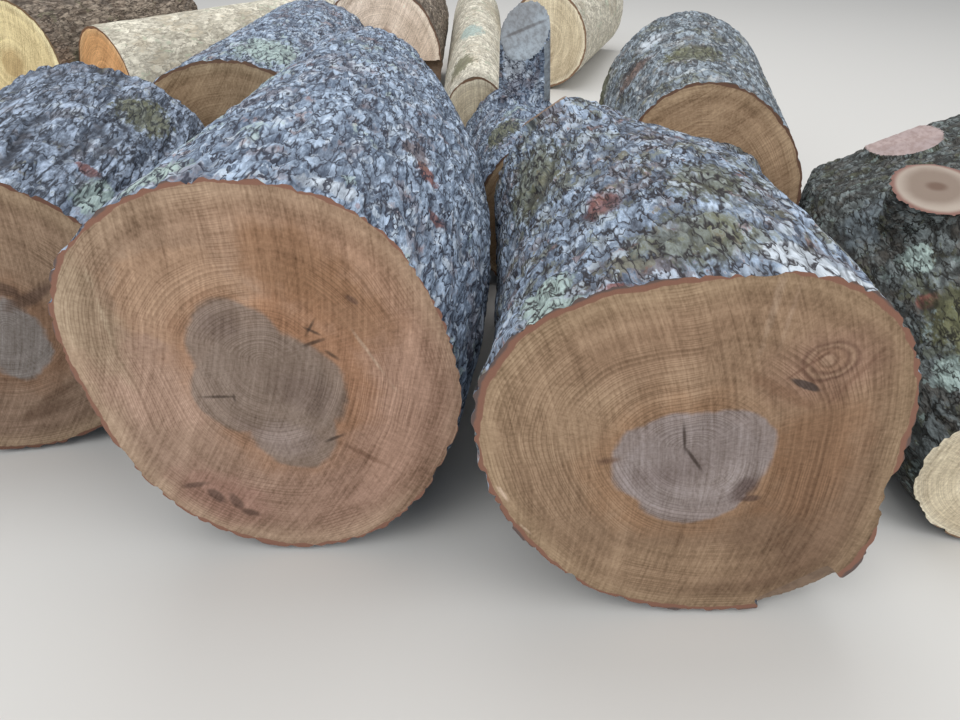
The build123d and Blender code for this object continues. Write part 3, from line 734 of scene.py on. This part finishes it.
def rings_group():
    """Growth rings, bands, rays and saw strokes of a sawn face."""
    tree, inputs, output = new_group(
        "ShaderNodeTree", "Rings",
        {"Ring": (NUMBER, 0.0), "Place": (VECTOR, None), "Count": (NUMBER, 55.0),
         "Saw angle": (NUMBER, 0.6)},
        {"Late wood": (NUMBER, None), "Zone": (NUMBER, None), "Ray": (NUMBER, None),
         "Saw": (NUMBER, None), "Swath": (NUMBER, None)})
    place = inputs["Place"]
    wander = noise(tree, place, scale=7.0, detail=1.0, flat=True)
    ring = calc(tree, "MULTIPLY_ADD", wander, 0.07, inputs["Ring"])
    # Rings of uneven width, each darkening slowly outwards and ending sharply
    count = times(tree, ring, inputs["Count"])
    uneven = noise(tree, join(tree, count), scale=0.35, detail=1.0, flat=True)
    wave = calc(tree, "FRACT", calc(tree, "MULTIPLY_ADD", uneven, 2.6, count))
    late = times(tree, smooth(tree, wave, low=0.35, high=0.9),
                 smooth(tree, wave, low=1.0, high=0.93))
    shown = smooth(tree, noise(tree, place, scale=6.5, detail=1.0, flat=True), low=0.44, high=0.6)
    late = times(tree, late, calc(tree, "MULTIPLY_ADD", shown, 0.85, 0.15))
    zone = noise(tree, join(tree, ring, times(tree, shown, 0.03)), scale=13.0, detail=2.0,
                 roughness=0.65, flat=True)
    fan = vector(tree, "MULTIPLY_ADD", vector(tree, "NORMALIZE", place), (39.0, 39.0, 0.0),
                 join(tree, z=times(tree, ring, 12.0)))
    ray = noise(tree, fan, scale=1.0, detail=2.0, roughness=0.7)
    # The saw's strokes bend a little, so they follow an arc
    cosine = calc(tree, "COSINE", inputs["Saw angle"])
    sine = calc(tree, "SINE", inputs["Saw angle"])
    across = vector(tree, "DOT_PRODUCT", place, join(tree, cosine, times(tree, sine, -1.0)))
    level = vector(tree, "DOT_PRODUCT", place, join(tree, sine, cosine))
    arc = calc(tree, "MULTIPLY_ADD", times(tree, level, level), 0.7, across)
    stroke = join(tree, arc, level)
    saw = noise(tree, vector(tree, "MULTIPLY", stroke, (190.0, 8.0, 0.0)), scale=1.0, detail=2.0,
                roughness=0.65, flat=True)
    swath = noise(tree, vector(tree, "MULTIPLY", stroke, (16.0, 2.5, 0.0)), scale=1.0, detail=1.0,
                  roughness=0.5, flat=True)
    put_out(tree, output, {
        "Late wood": late, "Zone": zone, "Ray": ray, "Saw": saw, "Swath": swath})


def relief_group():
    """Ridges and furrows of the bark, sunk into a log's mesh, and kept as an attribute."""
    tree, inputs, output = new_group(
        "GeometryNodeTree", "Bark relief",
        {"Geometry": (GEOMETRY, None), "Depth": (NUMBER, 0.01), "Width": (NUMBER, 0.034),
         "Stretch": (NUMBER, 3.0), "Seed": (NUMBER, 0.0)},
        {"Geometry": (GEOMETRY, None)})
    grain = add(tree, "GeometryNodeInputNamedAttribute", {"Name": "grain"},
                data_type="FLOAT_VECTOR").outputs[0]
    sawn = add(tree, "GeometryNodeInputNamedAttribute", {"Name": "sawn"}).outputs[0]
    place = squeezed_place(tree, grain, inputs["Stretch"], inputs["Seed"])
    per_metre = calc(tree, "DIVIDE", 1.0, inputs["Width"])
    drift = noise(tree, place, times(tree, per_metre, 0.4), detail=2.0, output="Color")
    drift = vector(tree, "SUBTRACT", drift, (0.5, 0.5, 0.5))
    bent = vector(tree, "ADD", place, vector(
        tree, "SCALE", drift, scale=times(tree, inputs["Width"], 2.5)))
    ridge = noise(tree, bent, times(tree, per_metre, 0.7), detail=1.0)
    furrow = smooth(tree, calc(tree, "ABSOLUTE", calc(tree, "SUBTRACT", ridge, 0.5)),
                    low=0.1, high=0.0)
    cell = add(tree, "ShaderNodeTexVoronoi", {"Vector": bent, "Scale": per_metre}, feature="F1")
    level = split(tree, cell.outputs["Color"])[0]
    swell = noise(tree, grain, scale=7.0, detail=2.0)
    rough = noise(tree, place, times(tree, per_metre, 2.0), detail=2.0, roughness=0.6)
    deep = calc(tree, "ADD", times(tree, furrow, 0.4), times(tree, level, 0.28))
    deep = calc(tree, "ADD", deep, times(tree, rough, 0.35))
    sink = calc(tree, "ADD", deep, times(tree, swell, 0.4))
    sink = times(tree, sink, calc(tree, "SUBTRACT", 1.0, sawn))
    sink = times(tree, sink, inputs["Depth"])
    normal = add(tree, "GeometryNodeInputNormal").outputs[0]
    offset = vector(tree, "SCALE", normal, scale=times(tree, sink, -1.0))
    moved = add(tree, "GeometryNodeSetPosition", {
        "Geometry": inputs["Geometry"], "Offset": offset}).outputs[0]
    kept = add(tree, "GeometryNodeStoreNamedAttribute", {
        "Geometry": moved, "Name": "furrow", "Value": deep}, domain="POINT").outputs[0]
    put_out(tree, output, {"Geometry": kept})


def make_groups():
    """Makes the node groups once."""
    if "Blot" in bpy.data.node_groups:
        return
    flakes_group()
    patches_group()
    blot_group()
    rings_group()
    relief_group()


# Modelling helpers


def select_only(obj):
    bpy.ops.object.select_all(action="DESELECT")
    obj.select_set(True)
    bpy.context.view_layer.objects.active = obj


def vectors_of(items, name):
    """One vector for each vertex or face of a mesh, as an array."""
    values = np.empty(len(items) * 3)
    items.foreach_get(name, values)
    return values.reshape(-1, 3)


def corners(obj):
    """Vertices of a mesh as an array."""
    return vectors_of(obj.data.vertices, "co")


def axes(node):
    """Directions right and along of a log, the ground under its near face, and its length."""
    turn = math.radians(LOGS[node]["turn"])
    right = Vector((math.cos(turn), -math.sin(turn), 0))
    along = Vector((math.sin(turn), math.cos(turn), 0))
    points = corners(frame["nodes"][node])
    travel = points @ np.array(along)
    cap = points[travel < travel.min() + SAME_PLACE] @ np.array(right)
    start = along * travel.min() + right * (cap.min() + cap.max()) / 2
    return right, along, start, travel.max() - travel.min()


def grain_of(node, points):
    """Points as (right, up, along) of a log."""
    right, along, start, _ = axes(node)
    away = points - np.array(start)
    return np.stack([away @ np.array(right), points[:, 2], away @ np.array(along)], axis=1)


def flats(obj):
    """Vertices of a CAD mesh, and its flat patches: each its normal and triangles."""
    points = corners(obj)
    triangles = np.array([tuple(face.vertices) for face in obj.data.polygons])
    first, second, third = (points[triangles[:, k]] for k in range(3))
    cross = np.cross(second - first, third - first)
    areas = np.linalg.norm(cross, axis=1) / 2
    normals = cross / (2 * areas[:, None] + 1e-12)
    offsets = (normals * first).sum(axis=1)
    # Triangles of one plane share a key: the normal to 1/300, and the offset to 1/3 mm
    keys = np.round(np.column_stack([normals * 300, offsets * 3000])).astype(int)
    _, group = np.unique(keys, axis=0, return_inverse=True)
    group = group.ravel()
    found = []
    for index in np.flatnonzero(np.bincount(group, areas) > CUT_AREA):
        members = np.flatnonzero(group == index)
        if len(members) >= CUT_TRIANGLES:
            found.append((normals[members[0]], triangles[members]))
    return points, found


def copied(node):
    """A free copy of a CAD node with its loose triangles joined."""
    select_only(frame["nodes"][node])
    bpy.ops.object.duplicate()
    log = bpy.context.object
    bpy.ops.object.parent_clear(type="CLEAR_KEEP_TRANSFORM")
    bpy.ops.object.transform_apply(location=True, rotation=True, scale=True)
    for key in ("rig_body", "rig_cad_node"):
        if key in log:
            del log[key]
    log.name = node.replace("_log", "_bark_log")
    log.data.name = log.name
    log.data.materials.clear()
    bpy.ops.object.mode_set(mode="EDIT")
    bpy.ops.mesh.select_all(action="SELECT")
    bpy.ops.mesh.remove_doubles(threshold=MERGE)
    bpy.ops.mesh.customdata_custom_splitnormals_clear()
    bpy.ops.object.mode_set(mode="OBJECT")
    return log


def stretch_ends(node, log, distance):
    """Draws both sawn faces out beyond the log's length."""
    _, along, _, length = axes(node)
    bpy.context.tool_settings.mesh_select_mode = (False, False, True)
    for way, place in ((-1, 0.0), (1, length)):
        bpy.ops.object.mode_set(mode="EDIT")
        bpy.ops.mesh.select_all(action="DESELECT")
        bpy.ops.object.mode_set(mode="OBJECT")
        travel = grain_of(node, vectors_of(log.data.polygons, "center"))[:, 2]
        facing = vectors_of(log.data.polygons, "normal") @ np.array(along) * way
        at_end = (facing > 0.99) & (abs(travel - place) < SAME_PLACE)
        log.data.polygons.foreach_set("select", at_end)
        bpy.ops.object.mode_set(mode="EDIT")
        bpy.ops.mesh.extrude_region_move(
            TRANSFORM_OT_translate={"value": along * way * distance})
        bpy.ops.object.mode_set(mode="OBJECT")


def add_modifier(obj, kind, **props):
    bpy.ops.object.modifier_add(type=kind)
    modifier = obj.modifiers[-1]
    for name, value in props.items():
        setattr(modifier, name, value)
    return modifier


def store(obj, name, values):
    """Keeps a number or a vector for each vertex."""
    values = np.asarray(values, dtype=np.float32)
    kind, key = ("FLOAT", "value") if values.ndim == 1 else ("FLOAT_VECTOR", "vector")
    if name not in obj.data.attributes:
        obj.data.attributes.new(name, kind, "POINT")
    obj.data.attributes[name].data.foreach_set(key, values.ravel())


def within(points, areas, softness):
    """Share of each point that lies within any of some ellipsoids, given as centre and size."""
    share = np.zeros(len(points))
    for centre, size in areas:
        reach = np.linalg.norm((points - np.array(centre)) / np.array(size), axis=1)
        share = np.maximum(share, np.clip((1.0 - reach) / softness, 0.0, 1.0))
    return share


def mark_sawn(node, log, step):
    """Gives faces on a flat cut their slot. Returns each vertex's share of standing still."""
    look = LOGS[node]
    points, found = flats(frame["nodes"][node])
    _, along, _, length = axes(node)
    normals = vectors_of(log.data.polygons, "normal")
    centres = vectors_of(log.data.polygons, "center")
    grain = grain_of(node, centres)
    sawn = np.zeros(len(centres), dtype=bool)
    for normal, triangles in found:
        facing = float(normal @ np.array(along))
        middle = grain_of(node, points[triangles].reshape(-1, 3))[:, 2].mean()
        near_end = facing < -0.999 and middle < SAME_PLACE
        far_end = facing > 0.999 and middle > length - SAME_PLACE
        sideways = abs(facing) < 0.1 and abs(normal[2]) < 0.9999
        if near_end or far_end or sideways and len(triangles) < STRIP_TRIANGLES:
            continue
        tree = BVHTree.FromPolygons([tuple(p) for p in points], [tuple(t) for t in triangles])
        gap = abs(centres @ normal - points[triangles[0][0]] @ normal)
        for index in np.flatnonzero((gap < CUT_REACH * step) & (normals @ normal > 0.8)):
            sawn[index] |= tree.find_nearest(
                Vector(centres[index]), CUT_REACH * step)[0] is not None
    sawn &= (grain[:, 2] > END_EDGE) & (grain[:, 2] < length - END_EDGE)
    if "clean" in look:
        sawn &= within(grain, look["clean"], softness=0.2) > 0.3
    share = within(grain_of(node, corners(log)), look.get("still", ()), softness=0.25)
    for index in np.flatnonzero(sawn):
        face = log.data.polygons[index]
        face.material_index = CUT_WOOD
        share[list(face.vertices)] = 1.0
    return share


def waves_of(node, log, far):
    """Smooth outline of a log near one end, as Fourier terms of the reach from its pith."""
    _, _, _, length = axes(node)
    low, high = LOGS[node].get("outline", OUTLINE)
    grain = grain_of(node, corners(log))
    travel = length - grain[:, 2] if far else grain[:, 2]
    away = grain[(travel > low) & (travel < high)][:, :2] - np.array(LOGS[node]["pith"])
    angles = np.arctan2(away[:, 1], away[:, 0])
    reach = np.linalg.norm(away, axis=1)
    slices = ((angles + math.pi) / (2 * math.pi) * SLICES).astype(int) % SLICES
    known = [k for k in range(SLICES) if (slices == k).any()]
    middles = (np.array(known) + 0.5) / SLICES * 2 * math.pi - math.pi
    outline = np.array([reach[slices == k].max() for k in known])
    terms = [np.ones(len(known))]
    for k in range(1, WAVES + 1):
        terms += [np.cos(k * middles), np.sin(k * middles)]
    return np.linalg.lstsq(np.stack(terms, axis=1), outline, rcond=None)[0]


def cut_ends(node, log):
    """Cuts both drawn-out ends off flat and gives the sawn faces their own material slots."""
    _, along, start, length = axes(node)
    for slot, way, place in ((NEAR_FACE, -1, 0.0), (FAR_FACE, 1, length)):
        bpy.ops.object.mode_set(mode="EDIT")
        bpy.ops.mesh.select_all(action="SELECT")
        bpy.ops.mesh.bisect(
            plane_co=start + along * (place - way * SHAVE), plane_no=along * way, use_fill=True,
            clear_outer=True, threshold=MERGE)
        bpy.ops.object.mode_set(mode="OBJECT")
        for face in log.data.polygons:
            if face.select and face.normal.dot(along) * way > 0.99:
                face.material_index = slot


def seed_of(node):
    """A number that gives each log bark of its own."""
    return float(list(LOGS).index(node))


def build_log(node):
    """Remakes one log with real bark relief and clean sawn faces."""
    chosen = settings()
    look = LOGS[node]
    step = chosen.mesh_step * look["step"]
    log = copied(node)
    stretch_ends(node, log, chosen.overhang)
    remesh = add_modifier(log, "REMESH", mode="VOXEL", voxel_size=step)
    bpy.ops.object.modifier_apply(modifier=remesh.name)
    store(log, "grain", grain_of(node, corners(log)))
    store(log, "sawn", mark_sawn(node, log, step))
    relief = add_modifier(log, "NODES", node_group=bpy.data.node_groups["Bark relief"])
    values = {
        "Depth": chosen.bark_relief * look["relief"],
        "Width": chosen.ridge_width * look["plate"],
        "Stretch": look["stretch"],
        "Seed": seed_of(node),
    }
    for item in relief.node_group.interface.items_tree:
        if item.in_out == "INPUT" and item.name in values:
            relief[item.identifier] = values[item.name]
    bpy.ops.object.modifier_apply(modifier=relief.name)
    near, far = (waves_of(node, log, end) for end in (False, True))
    cut_ends(node, log)
    for material in (bark_material(node), face_material(node, False, near), cut_material(node),
                     face_material(node, True, far)):
        log.data.materials.append(material)
    bpy.ops.object.shade_smooth_by_angle(angle=math.radians(50))
    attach(log, "root")
    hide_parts(node)
    return log


# Materials


def new_material(name, roughness):
    """A material with one principled shader. Returns it with its tree and shader."""
    material = bpy.data.materials.new(name)
    material.use_nodes = True
    tree = material.node_tree
    tree.nodes.clear()
    shader = tree.nodes.new("ShaderNodeBsdfPrincipled")
    shader.inputs["Roughness"].default_value = roughness
    shader.inputs["Specular IOR Level"].default_value = SPECULAR
    output = tree.nodes.new("ShaderNodeOutputMaterial")
    tree.links.new(shader.outputs[0], output.inputs[0])
    return material, tree, shader


def title(node, part):
    """Name of one of a log's materials."""
    return node.replace("_log", " " + part).replace("_", " ")


def attribute(tree, name, output):
    return add(tree, "ShaderNodeAttribute", attribute_name=name).outputs[output]


def log_place(tree, node):
    """Object coordinates as (right, up, along) of a log."""
    right, along, start, _ = axes(node)
    coordinates = add(tree, "ShaderNodeTexCoord").outputs["Object"]
    away = vector(tree, "SUBTRACT", coordinates, tuple(start))
    return join(tree, *(vector(tree, "DOT_PRODUCT", away, tuple(direction))
                        for direction in (right, (0.0, 0.0, 1.0), along)))


def add_marks(tree, color, place, marks, ripple):
    """Paints marks over a colour."""
    turned = {0: place}
    for mark, strength, centre, size, *rest in marks:
        turn, edge, ragged = rest or SPOT_EDGE
        back = -math.radians(turn)
        if turn not in turned:
            turned[turn] = add(tree, "ShaderNodeVectorRotate", {"Vector": place, "Angle": back},
                               rotation_type="Z_AXIS").outputs[0]
        scale = Vector([1 / reach for reach in size])
        middle = Matrix.Rotation(back, 3, "Z") @ Vector(centre)
        mask = use_group(tree, "Blot", {
            "Place": turned[turn], "Scale": scale, "Shift": -middle * scale,
            "Strength": strength, "Edge": edge, "Ragged": ragged, "Ripple": ripple})["Mask"]
        color = mix(tree, mask, color, paint(mark))
    return color


def bump(tree, shader, height, strength, distance):
    node = add(tree, "ShaderNodeBump", {
        "Height": height, "Strength": strength, "Distance": distance})
    tree.links.new(node.outputs[0], shader.inputs["Normal"])


def bark_material(node):
    """Flaky bark with its patches, spots, cracks and furrows, and painted shade in the furrows and
    along the flakes' lifted ends.
    """
    look = LOGS[node]
    bark = BARKS[look["bark"]]
    material, tree, shader = new_material(title(node, "bark"), BARK_ROUGHNESS)
    place = attribute(tree, "grain", "Vector")
    flakes = use_group(tree, "Flakes", {
        "Place": place, "Width": settings().flake_width * bark["width"],
        "Stretch": look["stretch"], "Seed": seed_of(node), "Cracks": bark["cracks"]})
    drawn = vector(tree, "MULTIPLY", place, (1.0, 1.0, 0.4))
    grit = noise(tree, drawn, scale=110.0, detail=3.0, roughness=0.7)
    ripple = noise(tree, drawn, scale=55.0, detail=3.0, roughness=0.7)
    ripple = calc(tree, "SUBTRACT", ripple, 0.5)
    shade = total(tree, 0.0, (flakes["Flake"], 0.3), (grit, 0.9))
    color = mix(tree, smooth(tree, shade, low=0.32, high=0.86), tone(*bark["low"]),
                tone(*bark["high"]))
    for share, size, crumble, patch in bark["patches"]:
        mask = use_group(tree, "Patches", {
            "Place": place, "Size": size, "Share": share, "Crumble": crumble,
            "Ripple": ripple})["Mask"]
        color = mix(tree, mask, color, tone(*patch))
    color = add_marks(tree, color, place, look.get("spots", ()), ripple)
    light = calc(tree, "MULTIPLY_ADD", grit, bark["fibre"], 1.0 - bark["fibre"] / 2)
    color = shaded(tree, color, light, light, light)
    # Painted shade in the furrows, darker where the mesh sinks deeper, over their own darker
    # colour; with it the cracks and the painted shadows along the flakes' lifted ends
    deep = smooth(tree, attribute(tree, "furrow", "Fac"), low=0.45, high=0.85)
    gap = calc(tree, "MAXIMUM", times(tree, flakes["Crack"], bark["depth"]),
               times(tree, deep, bark["deep"]))
    color = mix(tree, gap, color, tone(*bark["furrow"]))
    tree.links.new(color, shader.inputs["Base Color"])
    bump(tree, shader, flakes["Height"], strength=bark["bump"], distance=0.006)
    return material


def ring_of(tree, flat, waves):
    """Distance from the pith as a share of the reach of the outline in that direction."""
    parts = split(tree, flat)
    angle = calc(tree, "ARCTAN2", parts[1], parts[0])
    reach = float(waves[0])
    for k in range(1, WAVES + 1):
        turned = times(tree, angle, float(k))
        reach = total(tree, reach, (calc(tree, "COSINE", turned), float(waves[2 * k - 1])),
                      (calc(tree, "SINE", turned), float(waves[2 * k])))
    return calc(tree, "DIVIDE", vector(tree, "LENGTH", flat), reach)


def face_material(node, far, waves):
    """Sawn face of a log: growth rings, heart, stains and its ring of bark."""
    look = LOGS[node]
    face = FACES[look["face"]]
    material, tree, shader = new_material(
        title(node, "far face" if far else "near face"), WOOD_ROUGHNESS)
    place = vector(tree, "MULTIPLY", log_place(tree, node), (1.0, 1.0, 0.0))
    flat = vector(tree, "SUBTRACT", place, (*look["pith"], 0.0))
    ring = ring_of(tree, flat, waves)
    rings = use_group(tree, "Rings", {
        "Ring": ring, "Place": flat, "Count": face["radius"] / settings().ring_width,
        "Saw angle": face["saw"]})
    # Ground colour from corner to corner, and sapwood
    parts = split(tree, flat)
    side = smooth(tree, parts[0], low=-0.22, high=0.22)
    low, high = (mix(tree, side, tone(*face[row + " left"]), tone(*face[row + " right"]))
                 for row in ("low", "high"))
    color = mix(tree, smooth(tree, parts[1], low=-0.25, high=0.22), low, high)
    rim = settings().bark_thickness / face["radius"]
    sap = smooth(tree, ring, low=0.8, high=1.0 - rim)
    color = mix(tree, times(tree, sap, 0.6), color, tone(*face["sap"]))
    # Marks
    ripple = noise(tree, flat, scale=24.0, detail=2.0, roughness=0.6, flat=True)
    ripple = calc(tree, "SUBTRACT", ripple, 0.5)
    marks = [(mark, strength, (*centre, 0.0), (*size, MARK_DEPTH), *rest)
             for mark, strength, centre, size, *rest in face["marks"]
             if not far or size[1] > FAR_MARK]
    color = add_marks(tree, color, place, marks, ripple)
    # Light and dark of the wood: noise, bands, saw strokes, rays, swaths and specks
    speck = noise(tree, flat, scale=170.0, detail=1.0, roughness=0.7, flat=True)
    broad = noise(tree, flat, scale=6.0, detail=2.0, roughness=0.6, flat=True)
    cloud = total(tree, -0.95, (broad, 0.6), (rings["Zone"], 0.7), (rings["Saw"], 0.8),
                  (rings["Ray"], 0.6), (rings["Swath"], 0.7), (speck, 0.5))
    cloud = times(tree, cloud, calc(
        tree, "MULTIPLY_ADD", rings["Late wood"], -face["rings"], 1.02))
    color = shaded(tree, color, calc(tree, "POWER", cloud, 0.9), cloud,
                   calc(tree, "POWER", cloud, 1.1))
    # Ring of bark
    edge = calc(tree, "MULTIPLY_ADD", ripple, rim * 1.6, ring)
    color = mix(tree, smooth(tree, edge, low=1.0 - 1.3 * rim, high=1.0 - 1.1 * rim), color,
                tone(*face["bark"]))
    color = mix(tree, smooth(tree, edge, low=1.0 - 0.35 * rim, high=1.0 + 0.1 * rim), color,
                tone(*face["outer bark"]))
    tree.links.new(color, shader.inputs["Base Color"])
    bump(tree, shader, calc(tree, "MULTIPLY_ADD", speck, 0.5, rings["Saw"]), strength=0.3,
         distance=0.002)
    return material


def cut_material(node):
    """Weathered cut wood of a notch, a sawn branch or a slice."""
    look = LOGS[node]
    first, second, fibres = CUTS[look.get("cut", "plain")]
    material, tree, shader = new_material(title(node, "cut wood"), WOOD_ROUGHNESS)
    place = log_place(tree, node)
    drawn = vector(tree, "MULTIPLY", place, (1.0, 1.0, 0.14))
    fibre = noise(tree, drawn, scale=70.0, detail=4.0, roughness=0.65)
    cloud = noise(tree, place, scale=7.0, detail=3.0)
    color = mix(tree, smooth(tree, cloud, low=0.3, high=0.7), tone(*first), tone(*second))
    thread = smooth(tree, fibre, low=0.62, high=0.35)
    color = mix(tree, times(tree, thread, 0.5), color, tone(*fibres))
    ripple = calc(tree, "SUBTRACT", cloud, 0.5)
    color = add_marks(tree, color, place, look.get("cut marks", ()), ripple)
    tree.links.new(color, shader.inputs["Base Color"])
    bump(tree, shader, fibre, strength=0.4, distance=0.003)
    return material


def build_logs(*names):
    make_groups()
    for node in names:
        build_log(node)


# Operators


class LOG_HEAP_OT_front_logs(bpy.types.Operator):
    """Build the two thick logs at the front"""
    bl_idname = "log_heap.front_logs"
    bl_label = "Front logs"

    def execute(self, context):
        build_logs("front_left_log", "front_right_log")
        return {"FINISHED"}


class LOG_HEAP_OT_left_logs(bpy.types.Operator):
    """Build the two logs behind the front ones on the left"""
    bl_idname = "log_heap.left_logs"
    bl_label = "Left logs"

    def execute(self, context):
        build_logs("far_left_log", "middle_left_log")
        return {"FINISHED"}


class LOG_HEAP_OT_right_logs(bpy.types.Operator):
    """Build the log with a sawn limb, the crotch log and the log between them"""
    bl_idname = "log_heap.right_logs"
    bl_label = "Right logs"

    def execute(self, context):
        build_logs("forked_log", "back_right_log", "crotch_log")
        return {"FINISHED"}


class LOG_HEAP_OT_back_logs(bpy.types.Operator):
    """Build the five logs at the back"""
    bl_idname = "log_heap.back_logs"
    bl_label = "Back logs"

    def execute(self, context):
        build_logs("pale_log", "notched_log", "back_middle_log", "back_left_log", "corner_log")
        return {"FINISHED"}


class LOG_HEAP_OT_stage(bpy.types.Operator):
    """Build the floor, the lights and the camera"""
    bl_idname = "log_heap.stage"
    bl_label = "Stage"

    def execute(self, context):
        chosen = settings()
        bpy.ops.mesh.primitive_plane_add(size=FLOOR_SIZE)
        floor = context.object
        floor.name = "floor"
        material, _, shader = new_material("floor", FLOOR_ROUGHNESS)
        shader.inputs["Base Color"].default_value = tone(*FLOOR_COLOR)
        floor.data.materials.append(material)
        low, high = (Vector(corner) for corner in first_bounds)
        middle = (low + high) / 2
        for name, place, size, power in LIGHTS:
            bpy.ops.object.light_add(type="AREA", location=place)
            light = context.object
            light.name = name
            light.data.size = size
            light.data.energy = power
            light.rotation_euler = (middle - light.location).to_track_quat("-Z", "Y").to_euler()
        world = bpy.data.worlds.new("studio")
        world.use_nodes = True
        background = world.node_tree.nodes["Background"]
        background.inputs["Color"].default_value = WORLD_COLOR
        background.inputs["Strength"].default_value = WORLD_STRENGTH
        context.scene.world = world
        context.scene.view_settings.view_transform = "Standard"
        _, left_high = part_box("front_left_log")
        right_low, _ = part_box("front_right_log")
        eye = (left_high[0] - CAMERA_INSET, right_low[1] - CAMERA_REACH, chosen.eye_height)
        bpy.ops.object.camera_add(location=eye, rotation=(math.pi / 2 - chosen.pitch, 0, 0))
        camera = context.object
        camera.data.lens = chosen.lens
        camera.data.sensor_width = SENSOR_WIDTH
        context.scene.camera = camera
        return {"FINISHED"}


class LOG_HEAP_PT_panel(bpy.types.Panel):
    bl_label = "Log heap"
    bl_idname = "LOG_HEAP_PT_panel"
    bl_space_type = "VIEW_3D"
    bl_region_type = "UI"
    bl_category = "Log heap"

    def draw(self, context):
        for name in LogHeapSettings.__annotations__:
            self.layout.prop(context.scene.log_heap, name)
        for operator in OPERATORS:
            self.layout.operator(operator.bl_idname)


OPERATORS = (
    LOG_HEAP_OT_front_logs, LOG_HEAP_OT_left_logs, LOG_HEAP_OT_right_logs,
    LOG_HEAP_OT_back_logs, LOG_HEAP_OT_stage,
)


def register():
    for part in (LogHeapSettings, *OPERATORS, LOG_HEAP_PT_panel):
        bpy.utils.register_class(part)
    bpy.types.Scene.log_heap = bpy.props.PointerProperty(type=LogHeapSettings)


def unregister():
    del bpy.types.Scene.log_heap
    for part in reversed((LogHeapSettings, *OPERATORS, LOG_HEAP_PT_panel)):
        bpy.utils.unregister_class(part)


def main():
    register()
    bpy.ops.log_heap.front_logs()
    bpy.ops.log_heap.left_logs()
    bpy.ops.log_heap.right_logs()
    bpy.ops.log_heap.back_logs()
    bpy.ops.log_heap.stage()


if __name__ == "__main__":
    main()
